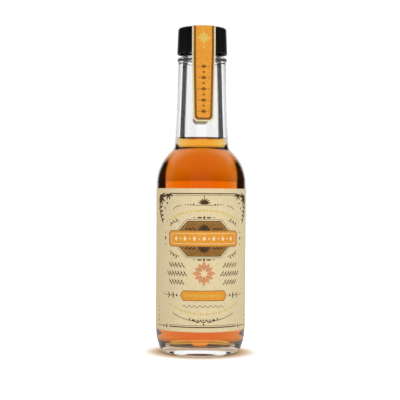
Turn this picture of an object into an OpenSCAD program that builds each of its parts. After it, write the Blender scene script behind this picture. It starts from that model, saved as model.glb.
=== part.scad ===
// Bitters bottle: a long-necked clear glass bottle with a screw cap and liner, a dasher insert
// in its mouth, its liquid, a wrap-around paper label and a paper seal strip over the cap.
// Millimetres. +Z is up, the origin is the centre of the resting ring, and the label faces -Y.

/* [Glass body] */
// Outside diameter of the straight panel that carries the label
body_d = 47.2; // [42:0.1:56]
// Height of the straight panel, from the heel to the shoulder
panel_h = 76.3; // [60:0.1:100]
// Height of the heel, from the resting ring to the straight panel
heel_h = 13; // [9:0.5:20]
// Radius of the long sweep that draws the heel in
heel_sweep_r = 27; // [22:0.5:60]
// Radius where the heel turns under to the resting ring
heel_r = 1.8; // [1:0.1:3]
// Width of the flat resting ring
foot_w = 2.6; // [1.5:0.1:5]
// Height of the push-up under the base
push_up_h = 3.2; // [1:0.1:6]
// Thickness of the glass above the push-up
base_t = 4.2; // [2.5:0.1:8]
// Thickness of the body wall
wall = 2.1; // [1.4:0.1:4]
// Radius inside, where the wall meets the floor
inside_corner_r = 6; // [3:0.5:9]
// Fall of the inside floor from its centre to the corner
floor_fall = 2.2; // [0.5:0.1:4]

/* [Shoulder and neck] */
// Radius of the rounded shoulder
shoulder_r = 23.2; // [18:0.1:26]
// Radius of the hollow curve from the shoulder to the neck
neck_blend_r = 4.6; // [3:0.1:12]
// Outside diameter of the neck where the shoulder ends
neck_root_d = 28.3; // [26:0.1:32]
// Outside diameter of the neck under the transfer bead
neck_top_d = 25.2; // [23:0.1:26]
// Length of the neck, from the shoulder to the transfer bead
neck_h = 43.9; // [36:0.1:60]
// Bow of the neck's outline, in degrees at each end
neck_bow = 1.9; // [0.3:0.05:3]
// Inside diameter of the neck where the shoulder ends
neck_bore_root_d = 19.4; // [16.5:0.1:22]
// Inside diameter of the neck under the mouth
neck_bore_top_d = 17.4; // [16.2:0.1:19]

/* [Finish] */
// Diameter of the transfer bead
bead_d = 26.4; // [25.4:0.1:30]
// Height of the transfer bead
bead_h = 2.3; // [1.5:0.1:4]
// Height of the finish, from the transfer bead to the land
finish_h = 12.3; // [11:0.1:18]
// Diameter of the finish at the root of the thread
finish_root_d = 21.2; // [20.4:0.1:22]
// Diameter over the thread
thread_d = 23.6; // [22.8:0.1:25]
// Rise of the thread in one turn
thread_pitch = 3.175; // [2.8:0.005:3.5]
// Length of the thread on the glass and in the cap, in turns
thread_turns = 1.5; // [1:0.25:1.75]
// Drop from the land to the top of the thread
thread_drop = 0.8; // [0.5:0.1:2]
// Diameter of the straight bore at the mouth
mouth_d = 16; // [14:0.1:17]
// Depth of the straight bore at the mouth
mouth_depth = 12; // [8:0.5:20]

/* [Screw cap] */
// Thickness of the cap's skirt
cap_wall = 1.15; // [0.9:0.05:2]
// Thickness of the cap's top
cap_top_t = 1.5; // [1:0.1:3]
// Amount by which the cap's radius draws in from its lower edge to its top
cap_draft = 0.45; // [0:0.05:1]
// Radius of the cap's rounded top edge
cap_edge_r = 1.2; // [0.5:0.1:2]
// Gap between the cap's lower edge and the transfer bead
cap_gap = 1.9; // [0.8:0.1:3]
// Clearance between the cap and the thread, all round
thread_clearance = 0.3; // [0.15:0.05:0.5]
// Thickness of the foam liner
liner_t = 1; // [0.5:0.1:2]
// Clearance between the liner and the cap's skirt
liner_clearance = 0.3; // [0.1:0.05:1]

/* [Dasher insert] */
// Width of the flange's lap over the land
flange_lap = 1.7; // [1:0.1:2.2]
// Thickness of the flange
flange_t = 1; // [0.6:0.1:1.6]
// Length of the plug below the land
plug_l = 9; // [6:0.5:12]
// Thickness of the plug's skirt
plug_wall = 1.1; // [0.7:0.1:1.6]
// Clearance between the plug and the bore
plug_clearance = 0.2; // [0.1:0.05:0.4]
// Clearance between the sealing ribs and the bore
rib_clearance = 0.02; // [0.01:0.01:0.05]
// Depth of the well in the top
well_depth = 3; // [1:0.5:4]
// Thickness of the well's floor
well_floor_t = 1; // [0.6:0.1:2]
// Diameter of the dashing hole
orifice_d = 3; // [1.5:0.1:4]
// Length of the tube that carries the hole below the well
orifice_tube_l = 2.5; // [1:0.5:4]

/* [Contents] */
// Height of the liquid's surface above the shoulder's end
fill_rise = 2.8; // [0:0.1:25]
// Rise of the liquid where it wets the glass
meniscus_h = 0.9; // [0.2:0.1:1.5]

/* [Paper] */
// Thickness of the label and the strip
paper_t = 0.12; // [0.08:0.01:0.3]
// Thickness of the glue under them
glue_t = 0.03; // [0.02:0.01:0.1]
// Gap between the label's top edge and the shoulder
label_top_gap = 2.5; // [0:0.1:20]
// Gap between the label's lower edge and the heel
label_foot_gap = 0.1; // [0:0.1:20]
// Gap between the label's ends at the back
label_back_gap = 7; // [2:0.5:60]
// Width of the seal strip over the cap
strip_w = 12.3; // [8:0.1:16]
// Width of the strip at the ends of its tails
strip_end_w = 10.9; // [7:0.1:16]
// Length of each tail of the strip below the cap
strip_tail = 36.2; // [15:0.1:42]
// Cut corners of the strip's ends
strip_corner = 1.6; // [0.5:0.1:4]
// Turn of the strip from the middle of the label, in degrees
strip_turn = 4; // [-10:0.1:10]

/* [Hidden] */
$fn = 96;

glass_colour = [0.86, 0.92, 0.90, 0.45];
liquid_colour = [0.89, 0.42, 0.10, 0.85];
plastic_colour = [0.93, 0.93, 0.90];
cap_colour = [0.07, 0.07, 0.08];
foam_colour = [0.96, 0.96, 0.94];
label_colour = [0.88, 0.80, 0.64];
strip_colour = [0.86, 0.56, 0.16];

// Radii of the glass
body_r = body_d / 2;
inside_r = body_r - wall;
root_r = neck_root_d / 2;
top_r = neck_top_d / 2;
bead_r = bead_d / 2;
finish_r = finish_root_d / 2;
mouth_r = mouth_d / 2;

// The neck's outline is one long arc: its slope, from upright, falls from root to top
neck_chord_a = atan((root_r - top_r) / neck_h);
neck_root_a = neck_chord_a + neck_bow;
neck_top_a = neck_chord_a - neck_bow;
neck_arc_r = norm([root_r - top_r, neck_h]) / (2 * sin(neck_bow));

// Slope, from upright, where a shoulder arc turns over into the arc that blends it to the neck
function turnover_a(shoulder, blend, inward) =
    acos((shoulder + blend * cos(neck_root_a) - inward) / (shoulder + blend));
function shoulder_rise(shoulder, blend, inward) =
    let (a = turnover_a(shoulder, blend, inward))
    shoulder * sin(a) + blend * (sin(a) - sin(neck_root_a));

// Heights, stacked from the resting ring
shoulder_z = heel_h + panel_h;
neck_z = shoulder_z + shoulder_rise(shoulder_r, neck_blend_r, body_r - root_r);
bead_z = neck_z + neck_h;
finish_z = bead_z + bead_h;
land_z = finish_z + finish_h;
floor_z = push_up_h + base_t;
liner_z = land_z + flange_t;
cap_inside_z = liner_z + liner_t;
cap_z = finish_z + cap_gap;
cap_top_z = cap_inside_z + cap_top_t;
fill_z = neck_z + fill_rise;

// Small shapes of the finish
lip_r = 0.6;          // outer edge of the land
mouth_edge_r = 0.4;   // inner edge of the land
root_fillet_r = 0.5;  // between the transfer bead and the finish
mouth_flare_h = 5;    // from the straight bore to the neck's bore

// Thread sections: widths at the root and at the crest, and how far the root is sunk in its wall
thread_root_w = 1.7;
thread_crest_w = 0.7;
cap_thread_root_w = 1.4;
cap_thread_crest_w = 0.6;
thread_sink = 0.3;
thread_flank_gap = 0.15;   // between the two threads where they bear on each other
thread_shoulder = 0.8;     // share of its height at which a ridge turns to its rounded crest
thread_fade = 5;           // rings over which each end of a thread runs out
thread_steps = 32;         // rings in one turn
thread_z = land_z - thread_drop - thread_root_w / 2 - thread_pitch * thread_turns;

// The cap
cap_bore_r = thread_d / 2 + thread_clearance;
cap_r = cap_bore_r + cap_wall;
cap_crest_r = finish_r + thread_clearance;
cap_lip = 0.3;           // chamfers of the lower edge
liner_bead = 0.5;        // how far the liner's bead stands in from the skirt
liner_bead_w = 0.8;
liner_bead_gap = 0.1;    // between the bead and the liner
cap_draft_a = atan(cap_draft / (cap_top_z - cap_z));
liner_r = cap_bore_r - liner_clearance;

// The cap's thread lies just under the glass's, and starts a quarter turn before it
cap_thread_a = -90;
cap_thread_drop = cap_thread_crest_w / 2 + thread_flank_gap +
    thread_crest_w / 2 + (thread_root_w - thread_crest_w) / 2
    * (thread_d / 2 - cap_crest_r) / (thread_d / 2 - finish_r);
cap_thread_z = thread_z + thread_pitch * cap_thread_a / 360 - cap_thread_drop;

// The insert
plug_r = mouth_r - plug_clearance;
rib_r = mouth_r - rib_clearance;
rib_count = 3;
rib_w = 0.9;
rib_crest_w = 0.25;
rib_gap = 1.9;           // from one rib to the next
plug_lead = 0.6;         // chamfer that guides the plug into the mouth
flange_r = mouth_r + flange_lap;
flange_edge = 0.25;
orifice_r = orifice_d / 2;
orifice_tube_wall = 0.8;
well_r = plug_r - plug_wall;
well_draft = 0.4;

// The paper
label_z = heel_h + label_foot_gap;
label_h = shoulder_z - label_top_gap - label_z;
label_a = 360 - 180 * label_back_gap / (PI * (body_r + glue_t));
tear_gap = 0.15;      // between the strip on the cap and its tails on the glass
tail_end_z = cap_z - strip_tail;
tail_over_a = 40;     // how far up and down the bead's round a tail lies on it
tail_touch_h = 4.5;   // below the bead's middle, where a tail comes down onto the neck
tail_steps = 8;

// The liquid
wet_gap = 0.05;          // between its solid and the glass
meniscus_reach = 1.2;    // how quickly the meniscus dies away from the glass

function arc(centre, r, from, to, steps) =
    [for (i = [0:steps]) let (a = from + (to - from) * i / steps) centre + r * [cos(a), sin(a)]];
function reversed(list) = [for (i = [len(list) - 1:-1:0]) list[i]];

// The heel: a small turn up from the resting ring, tangent to the long sweep into the panel
heel_sweep_c = [body_r - heel_sweep_r, heel_h];
heel_turn_a = asin((heel_r - heel_h) / (heel_sweep_r - heel_r));
heel_turn_c = heel_sweep_c + (heel_sweep_r - heel_r) * [cos(heel_turn_a), sin(heel_turn_a)];
foot_in_r = heel_turn_c.x - foot_w;
push_up_r = (foot_in_r * foot_in_r + push_up_h * push_up_h) / (2 * push_up_h);

// A rounded shoulder and the hollow arc after it, from the wall at radius r up to the neck
function shoulder_arcs(r, shoulder, blend, inward, steps) =
    let (a = turnover_a(shoulder, blend, inward),
         c = [r - shoulder, shoulder_z],
         turnover = c + shoulder * [cos(a), sin(a)],
         blend_c = turnover + blend * [cos(a), sin(a)])
    concat(arc(c, shoulder, 0, a, steps), arc(blend_c, blend, 180 + a, 180 + neck_root_a, steps));

neck_arc_c = [root_r, neck_z] + neck_arc_r * [cos(neck_root_a), sin(neck_root_a)];
function neck_radius(z) = neck_arc_c.x - sqrt(pow(neck_arc_r, 2) - pow(neck_arc_c.y - z, 2));

bead_c = [bead_r - bead_h / 2, bead_z + bead_h / 2];
bead_from_a = -acos((top_r - bead_c.x) / (bead_h / 2));

function glass_outside() = concat(
    arc([0, push_up_h - push_up_r], push_up_r, 90, 90 - asin(foot_in_r / push_up_r), 8),
    arc(heel_turn_c, heel_r, -90, heel_turn_a, 5),
    arc(heel_sweep_c, heel_sweep_r, heel_turn_a, 0, 6),
    shoulder_arcs(body_r, shoulder_r, neck_blend_r, body_r - root_r, 10),
    arc(neck_arc_c, neck_arc_r, 180 + neck_root_a, 180 + neck_top_a, 6),
    arc(bead_c, bead_h / 2, bead_from_a, 90, 8),
    arc([finish_r + root_fillet_r, finish_z + root_fillet_r], root_fillet_r, 270, 180, 3),
    arc([finish_r - lip_r, land_z - lip_r], lip_r, 0, 90, 4));

// The cavity from the mouth down to the centre of the floor, drawn in by a gap
function cavity(gap) =
    let (shoulder = shoulder_r - wall - gap,
         blend = neck_blend_r + wall + gap,
         bore_root_r = neck_bore_root_d / 2 - gap,
         corner = inside_corner_r - gap,
         side_r = inside_r - gap,
         floor_edge = [side_r - corner, floor_z - floor_fall + gap],
         floor_r = (pow(floor_edge.x, 2) + pow(floor_fall, 2)) / (2 * floor_fall))
    concat(
        [[mouth_r - gap, land_z - mouth_depth],
         [neck_bore_top_d / 2 - gap, land_z - mouth_depth - mouth_flare_h]],
        reversed(shoulder_arcs(side_r, shoulder, blend, side_r - bore_root_r, 10)),
        arc(floor_edge + [0, corner], corner, 0, -90, 6),
        reversed(arc([0, floor_z + gap - floor_r], floor_r,
                     90, 90 - asin(floor_edge.x / floor_r), 5)));

module glass_bottle()
    color(glass_colour) {
        rotate_extrude()
            polygon(concat(
                glass_outside(),
                arc([mouth_r + mouth_edge_r, land_z - mouth_edge_r], mouth_edge_r, 90, 180, 3),
                cavity(0)));
        thread_ridge(finish_r, thread_d / 2, thread_root_w, thread_crest_w, 0, thread_z);
    }

// One helical ridge: a trapezoid swept up a right-hand helix, with both ends running out into
// the wall. It stands out from root to crest, or inwards where the crest is the smaller radius.
module thread_ridge(root, crest, root_w, crest_w, from_a, z) {
    out = crest > root ? 1 : -1;
    steps = ceil(thread_steps * thread_turns);
    sunk = root - out * thread_sink;
    function shown(i) = max(0.1, min(1, i / thread_fade, (steps - i) / thread_fade));
    function section(i) =
        let (high = (crest - sunk) * shown(i), edge = sunk + high * thread_shoulder)
        [[sunk, -out * root_w / 2], [edge, -out * crest_w / 2], [sunk + high, 0],
         [edge, out * crest_w / 2], [sunk, out * root_w / 2]];
    function placed(p, i) =
        let (turn = thread_turns * i / steps, a = from_a + 360 * turn)
        [p.x * cos(a), p.x * sin(a), p.y + z + thread_pitch * turn];
    points = [for (i = [0:steps]) for (p = section(i)) placed(p, i)];
    k = len(section(0));
    sides = [for (i = [0:steps - 1]) for (j = [0:k - 1])
        let (a = i * k + j, b = i * k + (j + 1) % k)
        each [[a, b, a + k], [b, b + k, a + k]]];
    ends = [for (j = [1:k - 2])
        each [[0, j + 1, j], [steps * k, steps * k + j, steps * k + j + 1]]];
    polyhedron(points, concat(sides, ends));
}

module bitters_liquid() {
    wet_r = neck_bore_root_d / 2;
    function level(r) = fill_z + meniscus_h * exp((r - wet_r) / meniscus_reach);
    color(liquid_colour)
        intersection() {
            rotate_extrude() polygon(concat(cavity(wet_gap), [[0, land_z - mouth_depth]]));
            rotate_extrude()
                polygon(concat(
                    [[0, 0], [body_r, 0], [body_r, level(wet_r)]],
                    [for (i = [0:6]) let (r = wet_r - i * meniscus_reach / 2) [r, level(r)]],
                    [[0, fill_z]]));
        }
}

module dasher_insert() {
    top = land_z + flange_t;
    well_z = top - well_depth;
    below_z = well_z - well_floor_t;
    plug_z = land_z - plug_l;
    tube_z = below_z - orifice_tube_l;
    tube_r = orifice_r + orifice_tube_wall;
    skirt_r = plug_r - plug_wall;
    function rib(i) = let (z = plug_z + plug_lead + rib_w + i * rib_gap)
        [[plug_r, z - rib_w / 2], [rib_r, z - rib_crest_w / 2], [rib_r, z + rib_crest_w / 2],
         [plug_r, z + rib_w / 2]];
    color(plastic_colour)
        rotate_extrude()
            polygon(concat(
                [[orifice_r, well_z], [orifice_r, tube_z], [tube_r, tube_z], [tube_r, below_z],
                 [skirt_r, below_z], [skirt_r, plug_z], [plug_r - plug_lead, plug_z],
                 [plug_r, plug_z + plug_lead]],
                [for (i = [0:rib_count - 1]) each rib(i)],
                [[plug_r, land_z], [flange_r, land_z], [flange_r, top - flange_edge],
                 [flange_r - flange_edge, top], [well_r, top], [well_r - well_draft, well_z]]));
}

// The cap's outside from its lower edge to the middle of its top, pushed out by an offset
function cap_outside(off) = concat(
    [[cap_r + off, cap_z]],
    arc([cap_r - cap_draft - cap_edge_r, cap_top_z - cap_edge_r], cap_edge_r + off,
        cap_draft_a, 90, 6),
    [[0, cap_top_z + off]]);

// The cap's inside from its lower edge to the middle, with the bead that keeps the liner in
cap_inside = [
    [cap_bore_r + cap_lip, cap_z], [cap_bore_r, cap_z + cap_lip],
    [cap_bore_r, liner_z - liner_bead_w - liner_bead_gap],
    [cap_bore_r - liner_bead, liner_z - liner_bead_w / 2 - liner_bead_gap],
    [cap_bore_r, liner_z - liner_bead_gap],
    [cap_bore_r, cap_inside_z], [0, cap_inside_z]];

module screw_cap()
    color(cap_colour) {
        rotate_extrude()
            polygon(concat(
                [[cap_r - cap_lip, cap_z], [cap_r, cap_z + cap_lip]],
                [for (i = [1:len(cap_outside(0)) - 1]) cap_outside(0)[i]],
                reversed(cap_inside)));
        thread_ridge(cap_bore_r, cap_crest_r, cap_thread_root_w, cap_thread_crest_w,
                     cap_thread_a, cap_thread_z);
    }

module cap_liner()
    color(foam_colour) translate([0, 0, liner_z]) cylinder(r = liner_r, h = liner_t);

module body_label()
    color(label_colour)
        rotate([0, 0, -90 - label_a / 2])
            rotate_extrude(angle = label_a)
                translate([body_r + glue_t, label_z]) square([paper_t, label_h]);

module seal_strip_top()
    color(strip_colour)
        intersection() {
            rotate_extrude()
                polygon(concat(cap_outside(glue_t + paper_t), reversed(cap_outside(glue_t))));
            rotate([0, 0, strip_turn])
                translate([-strip_w / 2, -body_r, cap_z]) cube([strip_w, body_d, cap_top_z]);
        }

// The face of a tail that lies on the glass: over the gap, off the bead and down the neck
touch_z = bead_c.y - tail_touch_h;
tail_path = concat(
    [[cap_r + glue_t, cap_z - tear_gap]],
    arc(bead_c, bead_h / 2 + glue_t, tail_over_a, -tail_over_a, 4),
    [for (i = [0:tail_steps]) let (z = touch_z + (tail_end_z - touch_z) * i / tail_steps)
        [neck_radius(z) + glue_t, z]]);

module tail() {
    half = strip_w / 2;
    end = strip_end_w / 2;
    intersection() {
        rotate_extrude()
            polygon(concat(tail_path, [for (p = reversed(tail_path)) p + [paper_t, 0]]));
        rotate([90, 0, 0])
            linear_extrude(body_r)
                polygon([[-half, cap_z], [-end, tail_end_z + strip_corner],
                         [-end + strip_corner, tail_end_z], [end - strip_corner, tail_end_z],
                         [end, tail_end_z + strip_corner], [half, cap_z]]);
    }
}

module seal_strip_front() color(strip_colour) rotate([0, 0, strip_turn]) tail();

module seal_strip_back() color(strip_colour) rotate([0, 0, strip_turn + 180]) tail();

glass_bottle();
bitters_liquid();
dasher_insert();
screw_cap();
cap_liner();
body_label();
seal_strip_top();
seal_strip_front();
seal_strip_back();
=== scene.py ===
# Bitters bottle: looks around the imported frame.
# Sizes are in millimetres, as in the part's source, and turn to metres where a mesh is made.
# Lamps and the distances in the floor's shader are in metres.
from functools import lru_cache
from math import acos, asin, atan, atan2, ceil, cos, degrees, exp, floor, hypot, pi, radians, sin, sqrt

import bmesh
import bpy
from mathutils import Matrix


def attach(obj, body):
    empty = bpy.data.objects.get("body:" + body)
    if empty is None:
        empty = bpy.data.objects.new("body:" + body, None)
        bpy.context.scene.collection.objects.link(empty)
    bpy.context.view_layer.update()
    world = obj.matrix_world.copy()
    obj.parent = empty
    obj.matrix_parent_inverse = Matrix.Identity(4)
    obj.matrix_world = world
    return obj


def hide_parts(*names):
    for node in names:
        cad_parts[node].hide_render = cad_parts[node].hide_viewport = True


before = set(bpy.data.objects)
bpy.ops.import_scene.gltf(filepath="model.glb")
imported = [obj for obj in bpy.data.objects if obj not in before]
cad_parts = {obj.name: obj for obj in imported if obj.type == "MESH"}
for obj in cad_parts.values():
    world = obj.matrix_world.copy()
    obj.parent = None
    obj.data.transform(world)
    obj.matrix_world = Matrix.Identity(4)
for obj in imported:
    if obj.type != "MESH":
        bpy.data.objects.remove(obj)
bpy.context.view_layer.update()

MM = 0.001
white = (1, 1, 1, 1)
no_shine = (0, 0, 0, 1)    # specular tint where glass and liquid meet, which barely reflects

# Glass body
body_r = 23.6
panel_h = 76.3
heel_h = 13
heel_sweep_r = 27
heel_r = 1.8
foot_w = 2.6
push_up_h = 3.2
base_t = 4.2
wall = 2.1
inside_corner_r = 6
floor_fall = 2.2

# Shoulder and neck
shoulder_r = 23.2
neck_blend_r = 4.6
root_r = 14.15
top_r = 12.6
neck_h = 43.9
neck_bow = 1.9
bore_root_r = 9.7
bore_top_r = 8.7

# Finish
bead_r = 13.2
bead_h = 2.3
finish_h = 12.3
finish_r = 10.6
thread_r = 11.8
thread_pitch = 3.175
thread_turns = 1.5
thread_drop = 0.8
thread_root_w = 1.7
thread_crest_w = 0.7
thread_fade = 0.16
mouth_r = 8
mouth_depth = 12
mouth_flare_h = 5
lip_r = 0.6
mouth_edge_r = 0.4
root_fillet_r = 0.5

# Cap
cap_wall = 1.15
cap_top_t = 1.5
cap_draft = 0.45
cap_edge_r = 1.2
cap_gap = 1.9
thread_clearance = 0.3
cap_lip = 0.3
cap_thread_root_w = 1.4
cap_thread_crest_w = 0.6
thread_flank_gap = 0.15
flange_t = 1
liner_t = 1
liner_bead = 0.5
liner_bead_w = 0.8
liner_bead_gap = 0.1

# Paper
paper_t = 0.12
glue_t = 0.03
label_top_gap = 2.5
label_foot_gap = 0.1
label_back_gap = 7
strip_w = 12.3
strip_end_w = 10.9
strip_tail = 36.2
strip_corner = 1.6
strip_turn = 4
tear_gap = 0.04      # a clean tear; the solids leave 0.15
tail_over_a = 40
tail_touch_h = 4.5

# Contents
fill_rise = 2.8
meniscus_h = 0.9
meniscus_reach = 1.2
liquid_lap = 0.12    # how far the liquid's skin lies inside the glass, so that no air shows

# Meshes
round_steps = 192    # segments of a body of revolution
wall_step = 0.2      # longest stretch of a wall that carries a thread
on_wall = 0.01       # how close to such a wall's radius a point counts as on it
weld = 0.0005        # points closer than this are one
wet_reach = 0.1      # how far past the inner wall the middle of one of its faces can lie


def arc(centre, r, start, end, steps):
    """Points of an arc, its angles in degrees."""
    angles = [radians(start + (end - start) * i / steps) for i in range(steps + 1)]
    return [(centre[0] + r * cos(a), centre[1] + r * sin(a)) for a in angles]


def lerp(a, b, t):
    return tuple(p + (q - p) * t for p, q in zip(a, b))


def divided(points, step):
    """The same outline with no stretch longer than a step."""
    fine = [points[0]]
    for a, b in zip(points, points[1:]):
        count = max(1, ceil(hypot(b[0] - a[0], b[1] - a[1]) / step))
        fine += [lerp(a, b, i / count) for i in range(1, count + 1)]
    return fine


# The neck's outline is one long arc between the shoulder and the transfer bead
neck_chord_a = degrees(atan((root_r - top_r) / neck_h))
neck_root_a = neck_chord_a + neck_bow
neck_top_a = neck_chord_a - neck_bow
neck_arc_r = hypot(root_r - top_r, neck_h) / (2 * sin(radians(neck_bow)))


def turnover_a(shoulder, blend, inward):
    """Slope where a shoulder arc turns over into the arc that blends it to the neck."""
    return degrees(acos((shoulder + blend * cos(radians(neck_root_a)) - inward) / (shoulder + blend)))


def shoulder_rise(shoulder, blend, inward):
    a = radians(turnover_a(shoulder, blend, inward))
    return shoulder * sin(a) + blend * (sin(a) - sin(radians(neck_root_a)))


inside_r = body_r - wall
shoulder_z = heel_h + panel_h
neck_z = shoulder_z + shoulder_rise(shoulder_r, neck_blend_r, body_r - root_r)
bead_z = neck_z + neck_h
finish_z = bead_z + bead_h
land_z = finish_z + finish_h
floor_z = push_up_h + base_t
fill_z = neck_z + fill_rise
liner_z = land_z + flange_t
cap_inside_z = liner_z + liner_t
cap_z = finish_z + cap_gap
cap_top_z = cap_inside_z + cap_top_t
thread_z = land_z - thread_drop - thread_root_w / 2 - thread_pitch * thread_turns
cap_bore_r = thread_r + thread_clearance
cap_r = cap_bore_r + cap_wall
cap_crest_r = finish_r + thread_clearance
cap_draft_a = degrees(atan(cap_draft / (cap_top_z - cap_z)))
cap_thread_a = -pi / 2
cap_thread_drop = (cap_thread_crest_w / 2 + thread_flank_gap + thread_crest_w / 2
                   + (thread_root_w - thread_crest_w) / 2
                   * (thread_r - cap_crest_r) / (thread_r - finish_r))
cap_thread_z = thread_z + thread_pitch * cap_thread_a / (2 * pi) - cap_thread_drop
label_z = heel_h + label_foot_gap
label_top = shoulder_z - label_top_gap
label_r = body_r + glue_t + paper_t
tail_end_z = cap_z - strip_tail

heel_sweep_c = (body_r - heel_sweep_r, heel_h)
heel_turn_a = degrees(asin((heel_r - heel_h) / (heel_sweep_r - heel_r)))
heel_turn_c = (heel_sweep_c[0] + (heel_sweep_r - heel_r) * cos(radians(heel_turn_a)),
               heel_sweep_c[1] + (heel_sweep_r - heel_r) * sin(radians(heel_turn_a)))
foot_in_r = heel_turn_c[0] - foot_w
push_up_r = (foot_in_r ** 2 + push_up_h ** 2) / (2 * push_up_h)
neck_arc_c = (root_r + neck_arc_r * cos(radians(neck_root_a)),
              neck_z + neck_arc_r * sin(radians(neck_root_a)))
bead_c = (bead_r - bead_h / 2, bead_z + bead_h / 2)
bead_from_a = -degrees(acos((top_r - bead_c[0]) / (bead_h / 2)))


def neck_radius(z):
    return neck_arc_c[0] - sqrt(neck_arc_r ** 2 - (neck_arc_c[1] - z) ** 2)


def shoulder_arcs(r, shoulder, blend, inward, steps):
    """A rounded shoulder and the hollow arc after it, from a wall at radius r up to the neck."""
    a = turnover_a(shoulder, blend, inward)
    across = (cos(radians(a)), sin(radians(a)))
    centre = (r - shoulder, shoulder_z)
    blend_c = (centre[0] + (shoulder + blend) * across[0], centre[1] + (shoulder + blend) * across[1])
    return (arc(centre, shoulder, 0, a, steps)
            + arc(blend_c, blend, 180 + a, 180 + neck_root_a, steps)[1:])


def glass_outside():
    """The outside of the glass from the middle of the push-up to the land."""
    finish = [(finish_r, finish_z + root_fillet_r), (finish_r, land_z - lip_r)]
    return (arc((0, push_up_h - push_up_r), push_up_r, 90, 90 - degrees(asin(foot_in_r / push_up_r)), 24)
            + arc(heel_turn_c, heel_r, -90, heel_turn_a, 10)
            + arc(heel_sweep_c, heel_sweep_r, heel_turn_a, 0, 20)[1:]
            + shoulder_arcs(body_r, shoulder_r, neck_blend_r, body_r - root_r, 24)
            + arc(neck_arc_c, neck_arc_r, 180 + neck_root_a, 180 + neck_top_a, 30)[1:]
            + arc(bead_c, bead_h / 2, bead_from_a, 90, 20)
            + arc((finish_r + root_fillet_r, finish_z + root_fillet_r), root_fillet_r, 270, 180, 6)
            + divided(finish, wall_step)[1:-1]
            + arc((finish_r - lip_r, land_z - lip_r), lip_r, 0, 90, 8))


def cavity(gap):
    """The cavity from under the mouth to the middle of the floor, drawn in by a gap."""
    shoulder = shoulder_r - wall - gap
    blend = neck_blend_r + wall + gap
    corner = inside_corner_r - gap
    side_r = inside_r - gap
    edge = (side_r - corner, floor_z - floor_fall + gap)
    floor_r = (edge[0] ** 2 + floor_fall ** 2) / (2 * floor_fall)
    shoulder_side = shoulder_arcs(side_r, shoulder, blend, side_r - bore_root_r + gap, 24)
    return ([(mouth_r - gap, land_z - mouth_depth),
             (bore_top_r - gap, land_z - mouth_depth - mouth_flare_h)]
            + shoulder_side[::-1]
            + arc((edge[0], edge[1] + corner), corner, 0, -90, 16)
            + arc((0, floor_z + gap - floor_r), floor_r,
                  90 - degrees(asin(edge[0] / floor_r)), 90, 20)[1:])


def made(name, bm, sharp=35):
    """A Blender object from a mesh in millimetres, smooth but for edges sharper than an angle."""
    bmesh.ops.recalc_face_normals(bm, faces=bm.faces)
    bmesh.ops.scale(bm, vec=(MM, MM, MM), verts=bm.verts)
    for face in bm.faces:
        face.smooth = True
    for edge in bm.edges:
        edge.smooth = edge.calc_face_angle(0) < radians(sharp)
    mesh = bpy.data.meshes.new(name)
    bm.to_mesh(mesh)
    bm.free()
    piece = bpy.data.objects.new(name, mesh)
    bpy.context.scene.collection.objects.link(piece)
    return piece


def lathe(name, profile, segments, shifted=None):
    """A body of revolution. A profile that doesn't start on the axis closes on itself."""
    bm = bmesh.new()
    rows = []
    for r, z in profile:
        if abs(r) < weld:
            rows.append([bm.verts.new((0, 0, z))])
            continue
        row = []
        for i in range(segments):
            a = 2 * pi * i / segments
            out = shifted(r, z, a) if shifted else r
            row.append(bm.verts.new((out * cos(a), out * sin(a), z)))
        rows.append(row)
    closing = [] if abs(profile[0][0]) < weld else [(rows[-1], rows[0])]
    for low, high in list(zip(rows, rows[1:])) + closing:
        for i in range(segments):
            j = (i + 1) % segments
            if len(low) == 1:
                bm.faces.new((low[0], high[j], high[i]))
            elif len(high) == 1:
                bm.faces.new((low[i], low[j], high[0]))
            else:
                bm.faces.new((low[i], low[j], high[j], high[i]))
    return made(name, bm)


def ridge(a, z, from_a, from_z, root_w, crest_w):
    """How far a wall stands out to the crest of a right-hand thread there, from 0 to 1."""
    best = 0
    for whole in (-1, 0, 1, 2):
        turn = (a - from_a) / (2 * pi) + whole
        if 0 <= turn <= thread_turns:
            off = abs(z - from_z - thread_pitch * turn)
            flank = min(1, max(0, (root_w / 2 - off) / ((root_w - crest_w) / 2)))
            shown = min(1, turn / thread_fade, (thread_turns - turn) / thread_fade)
            best = max(best, flank * flank * (3 - 2 * flank) * max(0, shown))
    return best


def glass_shift(r, z, a):
    """The thread on the finish."""
    if abs(r - finish_r) > on_wall or z < finish_z:
        return r
    return r + (thread_r - finish_r) * ridge(a, z, 0, thread_z, thread_root_w, thread_crest_w)


def cap_shift(r, z, a):
    """The thread in the cap."""
    if abs(r - cap_bore_r) > on_wall:
        return r
    share = ridge(a, z, cap_thread_a, cap_thread_z, cap_thread_root_w, cap_thread_crest_w)
    return r - (cap_bore_r - cap_crest_r) * share


def cap_outside(off, steps=6):
    """The cap's outside from its lower edge to the middle of its top, pushed out by an offset."""
    return ([(cap_r + off, cap_z)]
            + arc((cap_r - cap_draft - cap_edge_r, cap_top_z - cap_edge_r), cap_edge_r + off,
                  cap_draft_a, 90, steps)
            + [(0, cap_top_z + off)])


def build_glass():
    """The glass, whose faces under the liquid take a material of their own."""
    rim = arc((mouth_r + mouth_edge_r, land_z - mouth_edge_r), mouth_edge_r, 90, 180, 6)
    glass = lathe("bottle_glass", glass_outside() + rim + cavity(0), round_steps, glass_shift)
    dress(glass, "bottle", "clear_glass", glass_material(), "glass_bottle")
    glass.data.materials.append(glass_material("wet_flint_glass", no_shine))
    for face in glass.data.polygons:
        r = hypot(face.center.x, face.center.y) / MM
        z = face.center.z / MM
        inward = face.normal.x * face.center.x + face.normal.y * face.center.y < 0
        below_shoulder = push_up_h < z < shoulder_z + 1
        wet = below_shoulder or (inward and z > floor_z)
        if wet and z < fill_z and r < inside_r + wet_reach:
            face.material_index = 1


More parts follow.
